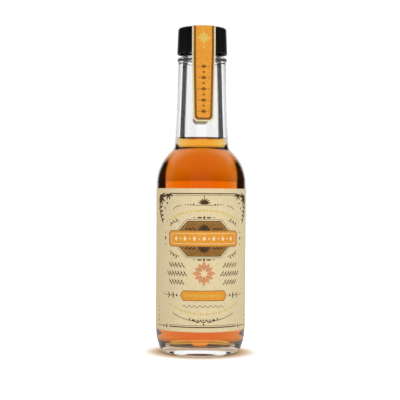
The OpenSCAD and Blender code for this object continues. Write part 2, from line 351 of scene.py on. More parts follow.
def build_liquid():
    """The liquid, with a meniscus where it wets the neck."""
    wet_r = bore_root_r + liquid_lap
    steps = 30
    drawn_in = 1.6    # how much the surface's rings draw together towards the axis
    below = [p for p in cavity(-liquid_lap)[2:] if p[1] < fill_z - 0.5]
    rings = [wet_r * (1 - i / steps) ** drawn_in for i in range(steps)]
    surface = [(r, fill_z + meniscus_h * exp((r - bore_root_r) / meniscus_reach)) for r in rings]
    profile = [(0, fill_z)] + surface[::-1] + [(wet_r, fill_z - 0.4)] + below
    liquid = lathe("bitters", profile, round_steps)
    dress(liquid, "bottle", "amber_liquid", liquid_material(), "bitters_liquid")


def build_cap():
    """The cap, rounded at its lower outer edge, with its thread and the bead that keeps the liner in."""
    outside = ([(cap_r - cap_lip, cap_z)] + arc((cap_r - cap_lip, cap_z + cap_lip), cap_lip, -90, 0, 4)
               + cap_outside(0, 16)[1:])
    inside = divided([(cap_bore_r, liner_z - liner_bead_w - liner_bead_gap),
                      (cap_bore_r, cap_z + cap_lip)], wall_step)
    profile = (outside[::-1]
               + [(cap_bore_r + cap_lip, cap_z)] + inside[::-1]
               + [(cap_bore_r - liner_bead, liner_z - liner_bead_w / 2 - liner_bead_gap),
                  (cap_bore_r, liner_z - liner_bead_gap), (cap_bore_r, cap_inside_z),
                  (0, cap_inside_z)])
    cap = lathe("cap_shell", profile, round_steps, cap_shift)
    dress(cap, "cap", "black_plastic", cap_material(), "screw_cap")


# Flat shapes for the printed paper: lists of (across, along) points in millimetres

def box_shape(centre, w, h):
    u, v = centre
    return [(u - w / 2, v - h / 2), (u + w / 2, v - h / 2), (u + w / 2, v + h / 2), (u - w / 2, v + h / 2)]


def disc(centre, r, count=16):
    return [(centre[0] + r * cos(2 * pi * i / count), centre[1] + r * sin(2 * pi * i / count))
            for i in range(count)]


def lozenge(centre, w, h):
    u, v = centre
    return [(u - w / 2, v), (u, v - h / 2), (u + w / 2, v), (u, v + h / 2)]


def leaf(foot, a, length, width):
    """A pointed leaf that grows from its foot at an angle in degrees."""
    along = (cos(radians(a)), sin(radians(a)))
    steps = 7
    side = [(length * i / steps, width / 2 * sin(pi * (i / steps) ** 0.8)) for i in range(steps + 1)]
    outline = side + [(s, -w) for s, w in side[-2:0:-1]]
    return [(foot[0] + s * along[0] - w * along[1], foot[1] + s * along[1] + w * along[0])
            for s, w in outline]


def stroke(points, width, closed=False):
    """A drawn line: one quad for each stretch, mitred at the joints."""
    count = len(points)
    mitre_limit = 0.4    # least cosine that a joint's reach is divided by
    sides = []
    for i, p in enumerate(points):
        before = points[(i - 1) % count] if closed or i > 0 else p
        after = points[(i + 1) % count] if closed or i < count - 1 else p
        da = atan2(p[1] - before[1], p[0] - before[0]) if before != p else None
        db = atan2(after[1] - p[1], after[0] - p[0]) if after != p else None
        da = db if da is None else da
        db = da if db is None else db
        half = (db - da + pi) % (2 * pi) - pi
        a = da + half / 2 + pi / 2
        reach = width / 2 / max(mitre_limit, cos(half / 2))
        sides.append(((p[0] + reach * cos(a), p[1] + reach * sin(a)),
                      (p[0] - reach * cos(a), p[1] - reach * sin(a))))
    pairs = list(zip(sides, sides[1:])) + ([(sides[-1], sides[0])] if closed else [])
    return [[a[0], a[1], b[1], b[0]] for a, b in pairs]


def fan(centre, r, from_a, to_a, count, width):
    """Leaves spread round a centre."""
    return [leaf(centre, from_a + (to_a - from_a) * i / (count - 1), r, width) for i in range(count)]


def mirrored(shapes):
    return shapes + [[(-u, v) for u, v in shape[::-1]] for shape in shapes]


def inset_ticket(w, h, notch, centre=(0, 0), steps=5):
    """A plaque whose four corners are hollow."""
    outline = []
    for x, y, start in ((1, 1, 270), (-1, 1, 0), (-1, -1, 90), (1, -1, 180)):
        corner = (centre[0] + x * w / 2, centre[1] + y * h / 2)
        outline += arc(corner, notch, start, start - 90, steps)
    return outline


def paper_sheet(name, shapes, place, cuts, top, bottom):
    """A thin closed sheet: flat shapes, cut into a grid and set in place at two depths."""
    flat = bmesh.new()
    for shape in shapes:
        flat.faces.new([flat.verts.new((u, v, 0)) for u, v in shape])
    bmesh.ops.remove_doubles(flat, verts=flat.verts, dist=weld)
    bmesh.ops.triangulate(flat, faces=flat.faces)
    for axis, step in enumerate(cuts):
        if not step:
            continue
        low = min(v.co[axis] for v in flat.verts)
        high = max(v.co[axis] for v in flat.verts)
        normal = (1, 0, 0) if axis == 0 else (0, 1, 0)
        for k in range(floor(low / step) + 1, ceil(high / step)):
            everything = flat.verts[:] + flat.edges[:] + flat.faces[:]
            bmesh.ops.bisect_plane(flat, geom=everything, dist=weld, plane_no=normal,
                                   plane_co=tuple(k * step * n for n in normal))
    bm = bmesh.new()
    flat.verts.index_update()
    upper = [bm.verts.new(place(v.co.x, v.co.y, top)) for v in flat.verts]
    lower = [bm.verts.new(place(v.co.x, v.co.y, bottom)) for v in flat.verts]
    for face in flat.faces:
        ring = [v.index for v in face.verts]
        bm.faces.new([upper[i] for i in ring])
        bm.faces.new([lower[i] for i in reversed(ring)])
    for edge in flat.edges:
        if len(edge.link_faces) == 1:
            loop = edge.link_faces[0].loops
            a, b = next((l.vert.index, l.link_loop_next.vert.index) for l in loop if l.edge == edge)
            bm.faces.new((upper[b], upper[a], lower[a], lower[b]))
    flat.free()
    return made(name, bm)


# Materials

glass_ior = 1.52
liquid_ior = 1.36
bitters_colour = (0.98, 0.735, 0.06, 1)
bitters_density = 175    # of absorption, in 1 / metre


def new_material(name):
    """A material, its node tree and its shader."""
    material = bpy.data.materials.new(name)
    material.use_nodes = True
    tree = material.node_tree
    return material, tree, tree.nodes["Principled BSDF"]


def srgb(r, g, b):
    """A colour from 8-bit values as a screen shows them."""
    def linear(c):
        c = c / 255
        return c / 12.92 if c <= 0.04045 else ((c + 0.055) / 1.055) ** 2.4
    return (linear(r), linear(g), linear(b), 1)


def noise(tree, scale, detail=4, stretch=(1, 1, 1)):
    """Noise in the object's own space, its scale in cycles a metre."""
    coords = tree.nodes.new("ShaderNodeTexCoord")
    mapping = tree.nodes.new("ShaderNodeMapping")
    mapping.inputs["Scale"].default_value = stretch
    texture = tree.nodes.new("ShaderNodeTexNoise")
    texture.inputs["Scale"].default_value = scale
    texture.inputs["Detail"].default_value = detail
    tree.links.new(coords.outputs["Object"], mapping.inputs["Vector"])
    tree.links.new(mapping.outputs["Vector"], texture.inputs["Vector"])
    return texture.outputs["Fac"]


def ramp(tree, value, low, high, start=0.3, end=0.7):
    """A colour between two, by a value."""
    node = tree.nodes.new("ShaderNodeValToRGB")
    node.color_ramp.elements[0].color = low
    node.color_ramp.elements[0].position = start
    node.color_ramp.elements[1].color = high
    node.color_ramp.elements[1].position = end
    tree.links.new(value, node.inputs["Fac"])
    return node.outputs["Color"]


def bump(tree, shader, height, strength, distance):
    """Relief from a height, its distance in millimetres."""
    node = tree.nodes.new("ShaderNodeBump")
    node.inputs["Strength"].default_value = strength
    node.inputs["Distance"].default_value = distance * MM
    tree.links.new(height, node.inputs["Height"])
    tree.links.new(node.outputs["Normal"], shader.inputs["Normal"])


def spread(tree, shader, value, socket, low, high):
    """A socket that runs from low to high with a value."""
    node = tree.nodes.new("ShaderNodeMapRange")
    node.inputs["To Min"].default_value = low
    node.inputs["To Max"].default_value = high
    tree.links.new(value, node.inputs["Value"])
    tree.links.new(node.outputs["Result"], shader.inputs[socket])


def let_light_through(tree, shader, colour):
    """Shadow rays pass, so that what stands in or behind the glass is lit."""
    output = tree.nodes["Material Output"]
    light_path = tree.nodes.new("ShaderNodeLightPath")
    clear = tree.nodes.new("ShaderNodeBsdfTransparent")
    clear.inputs["Color"].default_value = colour
    mix = tree.nodes.new("ShaderNodeMixShader")
    tree.links.new(light_path.outputs["Is Shadow Ray"], mix.inputs["Fac"])
    tree.links.new(shader.outputs["BSDF"], mix.inputs[1])
    tree.links.new(clear.outputs["BSDF"], mix.inputs[2])
    tree.links.new(mix.outputs["Shader"], output.inputs["Surface"])


def glass_material(name="flint_glass", shine=white):
    """Clear flint glass, with the faint waves that a mould leaves in it."""
    material, tree, shader = new_material(name)
    shader.inputs["Specular Tint"].default_value = shine
    shader.inputs["Base Color"].default_value = white
    shader.inputs["Transmission Weight"].default_value = 1
    shader.inputs["Roughness"].default_value = 0
    shader.inputs["IOR"].default_value = glass_ior
    bump(tree, shader, noise(tree, 90, detail=2, stretch=(1, 1, 0.4)), strength=0.25, distance=0.12)
    let_light_through(tree, shader, (0.93, 0.95, 0.94, 1))
    return material


def liquid_material():
    """Amber bitters, coloured by depth."""
    material, tree, shader = new_material("amber_bitters")
    shader.inputs["Base Color"].default_value = white
    shader.inputs["Transmission Weight"].default_value = 1
    shader.inputs["Roughness"].default_value = 0
    shader.inputs["IOR"].default_value = liquid_ior
    shader.inputs["Specular Tint"].default_value = no_shine
    bump(tree, shader, noise(tree, 60, detail=1), strength=0.1, distance=0.05)
    depth = tree.nodes.new("ShaderNodeVolumeAbsorption")
    depth.inputs["Color"].default_value = bitters_colour
    depth.inputs["Density"].default_value = bitters_density
    tree.links.new(depth.outputs["Volume"], tree.nodes["Material Output"].inputs["Volume"])
    let_light_through(tree, shader, (1, 0.97, 0.92, 1))
    return material


def cap_material():
    """Moulded black plastic with a fine satin grain."""
    material, tree, shader = new_material("black_cap_plastic")
    grain = noise(tree, 2600, detail=3)
    broad = noise(tree, 140, detail=2)
    tree.links.new(ramp(tree, broad, (0.0028, 0.0026, 0.0032, 1), (0.0042, 0.004, 0.0048, 1)),
                   shader.inputs["Base Color"])
    spread(tree, shader, grain, "Roughness", low=0.3, high=0.5)
    shader.inputs["Specular IOR Level"].default_value = 0.12
    bump(tree, shader, grain, strength=0.2, distance=0.03)
    return material


def foam_material():
    """White foamed liner board."""
    material, tree, shader = new_material("liner_foam_white")
    cells = noise(tree, 1800, detail=3)
    tree.links.new(ramp(tree, cells, (0.72, 0.72, 0.69, 1), (0.86, 0.86, 0.84, 1)),
                   shader.inputs["Base Color"])
    shader.inputs["Roughness"].default_value = 0.8
    bump(tree, shader, cells, strength=0.5, distance=0.08)
    return material


def insert_material():
    """Natural polyethylene, milky and soft in its gloss."""
    material, tree, shader = new_material("milky_plastic")
    cloud = noise(tree, 400, detail=3)
    tree.links.new(ramp(tree, cloud, (0.74, 0.75, 0.72, 1), (0.83, 0.84, 0.81, 1)),
                   shader.inputs["Base Color"])
    spread(tree, shader, cloud, "Roughness", low=0.35, high=0.5)
    shader.inputs["Subsurface Weight"].default_value = 0.3
    shader.inputs["Subsurface Radius"].default_value = (0.0012, 0.0012, 0.001)
    bump(tree, shader, noise(tree, 1500, detail=2), strength=0.15, distance=0.02)
    return material


def paper_material(name, dark, light, roughness=0.78):
    """Uncoated paper or ink on it: soft clouding, fibres and a fine tooth."""
    material, tree, shader = new_material(name)
    fibres = noise(tree, 900, detail=6, stretch=(1, 1, 3))
    tree.links.new(ramp(tree, fibres, dark, light, start=0.35, end=0.65), shader.inputs["Base Color"])
    spread(tree, shader, fibres, "Roughness", low=roughness - 0.08, high=roughness + 0.08)
    shader.inputs["Specular IOR Level"].default_value = 0.25
    bump(tree, shader, noise(tree, 2400), strength=0.25, distance=0.03)
    return material


def dress(piece, body, slot, material, *nodes):
    """Gives a piece its body and its material, and hides the imported parts it stands for; the slot is not
    used.
    """
    piece.data.materials.clear()
    piece.data.materials.append(material)
    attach(piece, body)
    if nodes:
        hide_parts(*nodes)
    return piece


cream_paper = paper_material("cream_label_paper", srgb(214, 195, 152), srgb(228, 211, 171))
brown_ink = paper_material("dark_brown_ink", srgb(62, 42, 22), srgb(84, 58, 32), 0.62)
bronze_ink = paper_material("bronze_ink", srgb(142, 98, 42), srgb(172, 124, 58), 0.6)
orange_ink = paper_material("orange_ink", srgb(214, 138, 38), srgb(232, 158, 54), 0.6)
salmon_ink = paper_material("salmon_ink", srgb(200, 134, 88), srgb(216, 156, 110), 0.68)
straw_ink = paper_material("straw_ink", srgb(208, 174, 78), srgb(220, 190, 98), 0.68)
cream_ink = paper_material("cream_ink", srgb(232, 214, 168), srgb(242, 226, 186), 0.68)
umber_ink = paper_material("umber_ink", srgb(118, 72, 20), srgb(142, 90, 30), 0.6)

ink_step = 0.012     # how far each printed layer stands above the one before it
ink_sunk = 0.008     # how far it reaches into the paper
label_cut = 0.8      # grid that lets flat shapes follow the label's curve
label_rows = 6       # height of the paper's own rows
art_turn = radians(strip_turn)


def on_label(u, v, depth):
    """A point of the label's flat artwork on the bottle."""
    a = u / label_r + art_turn
    r = label_r + depth
    return (r * sin(a), -r * cos(a), v)


def ink_on_label(name, shapes, material, layer=1):
    piece = paper_sheet(name, shapes, on_label, (label_cut, 0), ink_step * layer, -ink_sunk)
    dress(piece, "bottle", "cream_paper", material)


def build_label():
    """The paper: it stops short of meeting itself at the back."""
    half = pi * label_r - label_back_gap / 2 * label_r / body_r
    turned = art_turn * label_r
    shape = [(-half - turned, label_z), (half - turned, label_z),
             (half - turned, label_top), (-half - turned, label_top)]
    label = paper_sheet("label_paper", [shape], on_label, (label_cut, label_rows), 0, -paper_t)
    dress(label, "bottle", "cream_paper", cream_paper, "body_label")


def swag(half, rise, v, count):
    """Places along a shallow arch, or a hanging one where the rise is below 0."""
    spots = [-half + 2 * half * i / (count - 1) for i in range(count)]
    return [(u, v + rise * (1 - (u / half) ** 2)) for u in spots]


# Places and sizes on the label, where a name that ends in v is a height above the resting ring
top_rule_v = 84.1
crest_v = 78.4
plaque_v = 61
rosette_v = 43.2
tablet_v = 31.8
foot_v = 19.3
foot_rule_v = 15.6
rule_half = 19.5
medallion_half_w = 17.2
medallion_half_h = 8.9
plaque_w = 39.5
plaque_h = 8.4
sprig_middle = 14.8


def label_art():
    """The printed label, with no lettering. What is brown prints last, as one piece."""
    ink_medallion()
    ink_plaque()
    ink_garlands()
    ink_rosette()
    ink_tablet()
    brown = (label_rules() + mirrored(label_corner()) + label_crest() + medallion_setting()
             + mirrored(label_sprigs()) + mirrored(tablet_flank()) + label_foot())
    ink_on_label("ornaments", brown, brown_ink)
    ink_side_panels()


def label_rules():
    """A thick rule with a thin one inside it, at the top and the foot."""
    shapes = []
    for v, side in ((top_rule_v, -1), (foot_rule_v, 1)):
        shapes += stroke([(-rule_half, v), (rule_half, v)], 0.55)
        shapes += stroke([(-rule_half, v + side * 0.9), (rule_half, v + side * 0.9)], 0.2)
    return shapes


def label_corner():
    """The right side's corners: fans and a branch of leaves above, and a line of discs below."""
    shapes = fan((28.6, 83.2), 6.6, 186, 264, 4, 1.7)
    shapes += fan((20.6, 83.9), 3.6, 200, 340, 4, 1.1)
    shapes += [lozenge((24.2, 84), 2.2, 1.3), disc((21.4, 79.2), 0.55, 10), disc((23.2, 76.6), 0.5, 10)]
    for k in range(4):
        spot = (28.8 - 0.9 * k, 76.8 - 2.1 * k)
        shapes += [leaf(spot, 170, 3.6 - 0.5 * k, 1.2), leaf(spot, 245, 2.4 - 0.3 * k, 0.9)]
    shapes += stroke([(30.2, 82), (29.4, 77), (27.6, 72.5), (24.6, 68.6)], 0.35)
    shapes += [lozenge((21.2, foot_rule_v), 1.2, 2.6), lozenge((23.4, foot_rule_v), 1.6, 1.1)]
    shapes += stroke([(24.2, foot_rule_v), (27.5, foot_rule_v)], 0.3)
    shapes += [disc((28.4, foot_rule_v + 2.4 * k), 0.45 - 0.04 * k, 10) for k in range(6)]
    return shapes


def label_crest():
    """A fan at the top of the label between two falling lines."""
    shapes = fan((0, 78.6), 3.6, 20, 160, 7, 0.95)
    shapes += [disc((0, 82.6), 0.35, 10), box_shape((0, 78.2), 9.2, 0.3)]
    shapes += mirrored([disc((5.6 + 1.5 * k, crest_v), 0.5 - 0.08 * k, 10) for k in range(4)])
    shapes += mirrored(stroke([(12.5 + 0.8 * k, 77.9 - 0.17 * k * k / 3) for k in range(7)], 0.28))
    return shapes


def medallion_outline(wider=1, higher=1):
    """A long hexagon round the plaque."""
    w = medallion_half_w
    h = medallion_half_h
    hexagon = [(w, 0), (w * 0.5, h), (-w * 0.5, h), (-w, 0), (-w * 0.5, -h), (w * 0.5, -h)]
    return [(u * wider, v * higher + plaque_v) for u, v in hexagon]


def medallion_setting():
    """What stands round the medallion: an outer line, lozenges, leaves and short lines."""
    shapes = stroke(medallion_outline(1.07, 1.1), 0.22, True)
    for sign in (1, -1):
        v = plaque_v + sign * (medallion_half_h + 1.9)
        shapes += [lozenge((0, v), 1.3, 1.9)]
        shapes += mirrored([leaf((0.9, v), 0, 3.2, 0.8), lozenge((5.2, v), 0.9, 0.9)])
        shapes += mirrored(stroke([(13.2, plaque_v + sign * 9.2), (16.5, plaque_v + sign * 8.2),
                                   (19.4, plaque_v + sign * 6.2)], 0.3))
        shapes += mirrored([leaf((14.5 + 1.7 * k, plaque_v + sign * (9.1 - 0.9 * k)),
                                 sign * 48, 1.7, 0.7) for k in range(3)])
    shapes += mirrored([lozenge((22.6, plaque_v), 1.3, 2), disc((22.6, plaque_v + 3), 0.35, 8),
                        disc((22.6, plaque_v - 3), 0.35, 8)])
    return shapes


def medallion_lattice():
    """Slanting lines both ways, each cut to the hexagon."""
    pitch = 1.55
    margin = 0.7
    cuts = 24
    reach = medallion_half_h - margin
    shapes = []
    for k in range(-11, 12):
        for lean in (1, -1):
            a = (k * pitch - lean * reach, -reach)
            b = (k * pitch + lean * reach, reach)
            line = [lerp(a, b, i / cuts) for i in range(cuts + 1)]
            inside = [p for p in line
                      if abs(p[0]) < medallion_half_w * (1 - 0.5 * abs(p[1]) / medallion_half_h) - margin]
            if len(inside) > 1:
                shapes += stroke([(u, v + plaque_v) for u, v in (inside[0], inside[-1])], 0.16)
    return shapes


def ink_medallion():
    """The hexagon behind the plaque, with its lattice, its edge and leaves above and below."""
    medallion = medallion_outline()
    ink_on_label("medallion", [medallion], bronze_ink, 1)
    bold = stroke(medallion, 0.45, True)
    for sign in (1, -1):
        bold += fan((0, plaque_v + sign * 4.1), 3.9, sign * 12, sign * 168, 9, 1.0)
        bold += mirrored([leaf((4.2 + 2.1 * k, plaque_v + sign * 4.4), sign * 30, 2.6 - 0.3 * k, 0.8)
                          for k in range(3)])
    ink_on_label("medallion_lines", medallion_lattice() + bold, brown_ink, 2)


def ink_plaque():
    """The blank plaque: an edge, a field, and a line with lozenges in it."""
    middle = (0, plaque_v)
    ink_on_label("plaque_edge", [inset_ticket(plaque_w, plaque_h, 1.1, middle)], bronze_ink, 3)
    ink_on_label("plaque", [inset_ticket(plaque_w - 1, plaque_h - 1, 0.9, middle)], orange_ink, 4)
    rim = inset_ticket(plaque_w - 3.2, plaque_h - 3.2, 0.8, middle)
    beads = [lozenge((-15 + 30 * i / 12, plaque_v), 1.0 if i % 2 else 1.7, 1.0 if i % 2 else 2.6)
             for i in range(13)]
    ink_on_label("plaque_lines", stroke(rim, 0.22, True) + beads, cream_ink, 5)


def ink_garlands():
    """Lozenges and discs along an arch above the medallion and a hanging line below the tablet."""
    pale = []
    for i, spot in enumerate(swag(21, 5.6, 69.9, 27)):
        pale.append(lozenge(spot, 1.1, 1.9) if i % 2 else disc(spot, 0.5, 10))
    for i, spot in enumerate(swag(20, -5.2, 27.6, 25)):
        pale.append(lozenge(spot, 1.1, 1.8) if i % 2 else disc(spot, 0.45, 10))
    ink_on_label("garlands", pale, straw_ink)


def ink_rosette():
    """A disc with leaves round it, a ring and fine veins."""
    petals = 12
    veins = 8
    shapes = [disc((0, rosette_v), 3.3, 24)]
    shapes += [leaf((0.9 * cos(2 * pi * k / petals), rosette_v + 1.3 * sin(2 * pi * k / petals)),
                    360 * k / petals, 4.6 if k % 3 else 5.4, 2.4) for k in range(petals)]
    ink_on_label("rosette", shapes, salmon_ink)
    lines = [leaf((0, rosette_v), 360 * (k + 0.5) / veins, 3.1, 0.5) for k in range(veins)]
    lines += stroke(disc((0, rosette_v), 1.2, 20), 0.25, True)
    ink_on_label("rosette_lines", lines, cream_ink, 3)


def label_sprigs():
    """The right side's three sprigs: a bent stalk each, with leaves above and below it."""
    shapes = []
    for span, v, leaves in ((4.4, 47.2, 5), (6.0, 42.8, 7), (4.2, 38.4, 5)):
        shapes += stroke([(sprig_middle - span, v - 0.4), (sprig_middle, v + 0.25),
                          (sprig_middle + span, v - 0.1)], 0.22)
        for k in range(leaves):
            u = sprig_middle - span * 0.85 + 2 * span * 0.85 * k / (leaves - 1)
            shapes += [leaf((u, v), 58, 2.0, 0.62), leaf((u, v), -128, 1.6, 0.55)]
    return shapes


def ink_tablet():
    """The blank tablet: an edge, a field and a row of lozenges."""
    outline = [(12.6, 0), (11, 2.7), (-11, 2.7), (-12.6, 0), (-11, -2.7), (11, -2.7)]
    ink_on_label("tablet_edge", [[(u, v + tablet_v) for u, v in outline]], bronze_ink, 1)
    ink_on_label("tablet", [[(u * 0.965, v * 0.84 + tablet_v) for u, v in outline]], orange_ink, 2)
    ink_on_label("tablet_lines", [lozenge((-9.6 + 1.6 * k, tablet_v), 1.1, 1.5 + 0.5 * (k % 2))
                                  for k in range(13)], straw_ink, 3)


def tablet_flank():
    """What stands to the right of the tablet."""
    shapes = [lozenge((14.6, tablet_v), 1.2, 1.7)]
    shapes += fan((16.2, tablet_v), 2.2, -60, 60, 3, 0.6)
    shapes += stroke([(16.2, tablet_v), (21.5, tablet_v), (24, tablet_v + 0.6)], 0.24)
    shapes += [leaf((19, tablet_v), 50, 2.2, 0.6), leaf((19, tablet_v), -50, 2.2, 0.6)]
    return shapes


def label_foot():
    """A wavy line, two short arcs, and a row of scallops and discs over the foot rule."""
    waves = 8
    steps = 9
    count = waves * steps
    shapes = stroke([(-11 + 22 * i / count, 26.3 + 0.55 * sin(2 * pi * i / steps))
                     for i in range(count + 1)], 0.24)
    shapes += mirrored(stroke(swag(17, -4.2, 22.6, 19)[:9], 0.3))
    scallops = (-3.1, 0, 3.1)
    for u in scallops:
        shapes += stroke(arc((u, 19.7), 1.5, 180, 360, 9), 0.42)
    shapes += mirrored([disc((5.4, foot_v), 0.6, 10), disc((7.2, 19.9), 0.45, 10)])
    shapes += [disc((u, foot_v), 0.42, 10) for u in scallops]
    shapes += [lozenge((0, 17.2), 1.0, 1.2)]
    return shapes


def ink_side_panels():
    """Ruled panels with lozenges, at the sides of the label."""
    middle = 49
    half = 13
    clear = 1.6    # between a rule and the panel's middle
    shapes = []
    for v in (80, 20):
        shapes += stroke([(middle - half, v), (middle + half, v)], 0.4)
        shapes += [lozenge((middle, v), 2.2, 3)]
    for k in range(9):
        v = 74 - 6 * k
        width = half * (0.85 if k % 2 else 0.6)
        shapes += stroke([(middle - width, v), (middle - clear, v)], 0.3)
        shapes += stroke([(middle + clear, v), (middle + width, v)], 0.3)
        shapes += [lozenge((middle, v), 1.6, 1.6)]
    ink_on_label("side_panels", mirrored(shapes), brown_ink)


# The seal strip

strip_edge = 0.8    # cream border
strip_line = 1.2    # dark line inside it
strip_cuts = (0.7, 0.4)
tear_hair = 0.02    # what the strip over the cap stops short of the tears, in all
strip_sides = (("front", 0), ("back", 180))
strip_art_layer = 3
cap_edge_steps = 14
tail_steps = 16


@lru_cache(maxsize=None)
def cap_path(depth):
    """The strip's face over half the cap, with its length along the path at each point."""
    path = cap_outside(glue_t + paper_t + depth, cap_edge_steps)
    rest = cap_outside(glue_t + paper_t, cap_edge_steps)
    lengths = [0]
    for a, b in zip(rest, rest[1:]):
        lengths.append(lengths[-1] + hypot(b[0] - a[0], b[1] - a[1]))
    return path, lengths


over_half = cap_path(0)[1][-1]
flat_top_r = cap_r - cap_draft - cap_edge_r


def turned_to(x, y, z, a):
    """A point turned about the bottle's axis by an angle in degrees."""
    a = radians(a)
    return (x * cos(a) - y * sin(a), x * sin(a) + y * cos(a), z)


def on_cap(x, s, depth):
    """A point of the strip over the cap: s runs from the front edge, over the top, to the back."""
    path, lengths = cap_path(depth)
    along = over_half - abs(s)
    i = 0
    while i < len(path) - 2 and lengths[i + 1] < along:
        i += 1
    r, z = lerp(path[i], path[i + 1], (along - lengths[i]) / (lengths[i + 1] - lengths[i]))
    if r >= flat_top_r:
        y = sqrt(r * r - x * x)
    else:
        y = r / flat_top_r * sqrt(flat_top_r ** 2 - x * x)
    return turned_to(x, -y if s < 0 else y, z, strip_turn)


touch_z = bead_c[1] - tail_touch_h
tail_path = ([(cap_r + glue_t, cap_z - tear_gap)]
             + arc(bead_c, bead_h / 2 + glue_t, tail_over_a, -tail_over_a, 8)
             + [(neck_radius(touch_z + (tail_end_z - touch_z) * i / tail_steps) + glue_t,
                 touch_z + (tail_end_z - touch_z) * i / tail_steps) for i in range(tail_steps + 1)])


def tail_radius(z):
    """How far from the axis a tail's glued face is."""
    for a, b in zip(tail_path, tail_path[1:]):
        if z >= b[1]:
            return a[0] + (b[0] - a[0]) * (z - a[1]) / (b[1] - a[1])
    return tail_path[-1][0]


def on_tail(turn):
    """A tail's place on the neck, at the front or turned to the back."""
    def place(x, z, depth):
        r = tail_radius(z) + paper_t + depth
        return turned_to(x, -sqrt(r * r - x * x), z, strip_turn + turn)
    return place


def tail_shape(inset):
    """A tail's outline, drawn in from its edges but not from the tear."""
    half = strip_w / 2 - inset
    end = strip_end_w / 2 - inset
    foot = tail_end_z + inset
    corner = strip_corner * (1 - inset / 5)
    top = cap_z - tear_gap
    return [(-half, top), (-end, foot + corner), (-end + corner, foot),
            (end - corner, foot), (end, foot + corner), (half, top)]


def strip_chain(top, foot):
    """Lozenges and dots down the strip."""
    count = 9
    shapes = []
    for k in range(count):
        v = top + (foot - top) * k / (count - 1)
        shapes.append(lozenge((0, v), 3.4, 2.1) if k % 2 == 0 else disc((0, v), 0.6, 12))
        if k % 2 == 0:
            shapes += [lozenge((2.7, v), 0.7, 0.9), lozenge((-2.7, v), 0.7, 0.9)]
    return shapes


def strip_pieces(word, over, tail, material, top, bottom, stands_for=False):
    """One layer of the strip: a piece over the cap, and one on each tail."""
    node = ["seal_strip_top"] if stands_for else []
    piece = paper_sheet("strip_over_" + word, over, on_cap, strip_cuts, top, bottom)
    dress(piece, "cap", "orange_paper", material, *node)
    for side, turn in strip_sides:
        node = ["seal_strip_" + side] if stands_for else []
        piece = paper_sheet("strip_" + side + "_" + word, tail, on_tail(turn), strip_cuts, top, bottom)
        dress(piece, "bottle", "orange_paper", material, *node)


def build_strip():
    """One printed paper strip in three pieces: over the cap, and a tail at the front and the back."""
    layers = ((0, cream_paper, "paper"), (strip_edge, umber_ink, "line"),
              (strip_edge + strip_line, orange_ink, "panel"))
    for k, (inset, material, word) in enumerate(layers):
        over = [box_shape((0, 0), strip_w - 2 * inset, 2 * over_half - tear_hair)]
        strip_pieces(word, over, [tail_shape(inset)], material, ink_step * k,
                     -ink_sunk if k else -paper_t, stands_for=k == 0)


def strip_star():
    """A star on the cap's front and back, and lozenges on its top."""
    crown = over_half - 7.4
    shapes = []
    for s in (-crown, crown):
        shapes += [leaf((0, s), 45 * k, 3.1 if k % 2 else 3.8, 1.3) for k in range(8)]
        shapes += [disc((0, s + 5), 0.5, 12), disc((0, s - 5), 0.5, 12)]
    return shapes + [lozenge((0, 0), 3, 4), lozenge((0, 4), 1.2, 1.6), lozenge((0, -4), 1.2, 1.6)]


def strip_art():
    """The strip's print: the star in straw over the cap, and a brown chain down each tail."""
    top = ink_step * strip_art_layer
    piece = paper_sheet("strip_over_star", strip_star(), on_cap, strip_cuts, top, -ink_sunk)
    dress(piece, "cap", "orange_paper", straw_ink)
    chain = strip_chain(cap_z - 7.5, tail_end_z + 5.2)
    for side, turn in strip_sides:
        piece = paper_sheet("strip_" + side + "_chain", chain, on_tail(turn), strip_cuts, top, -ink_sunk)
        dress(piece, "bottle", "orange_paper", umber_ink)


# Stage, light and camera

def math_node(tree, operation, *values):
    """A Math node fed by sockets or numbers."""
    node = tree.nodes.new("ShaderNodeMath")
    node.operation = operation
    for i, value in enumerate(values):
        if isinstance(value, (int, float)):
            node.inputs[i].default_value = value
        else:
            tree.links.new(value, node.inputs[i])
    return node.outputs["Value"]


def step_node(tree, value, low, high, rising):
    """A smooth step from 0 to 1, or from 1 to 0."""
    node = tree.nodes.new("ShaderNodeMapRange")
    node.interpolation_type = "SMOOTHSTEP"
    node.inputs["From Min"].default_value = low
    node.inputs["From Max"].default_value = high
    node.inputs["To Min"].default_value = 0 if rising else 1
    node.inputs["To Max"].default_value = 1 if rising else 0
    tree.links.new(value, node.inputs["Value"])
    return node.outputs["Result"]


def flag_node(tree, across, ahead):
    """1 in the directions where a dark flag stands beside the white sweep, front and back."""
    turn = math_node(tree, "ARCTAN2", across, ahead)
    return math_node(tree, "MULTIPLY",
                     step_node(tree, turn, radians(flag_from_a), radians(flag_from_a + flag_edge_a), True),
                     step_node(tree, turn, radians(flag_to_a - flag_edge_a), radians(flag_to_a), False))


def directions(tree, vector):
    """How far a vector goes to either side, how far along the view's depth, and its own parts."""
    parts = tree.nodes.new("ShaderNodeSeparateXYZ")
    tree.links.new(vector, parts.inputs["Vector"])
    across = math_node(tree, "ABSOLUTE", parts.outputs["X"])
    ahead = math_node(tree, "ABSOLUTE", parts.outputs["Y"])
    return across, ahead, parts


def tinted(tree, share, first, second):
    """A first colour that gives way to a second one as a share goes from 0 to 1."""
    node = tree.nodes.new("ShaderNodeMixRGB")
    node.inputs[1].default_value = first
    tree.links.new(share, node.inputs[0])
    tree.links.new(second, node.inputs[2])
    return node.outputs["Color"]


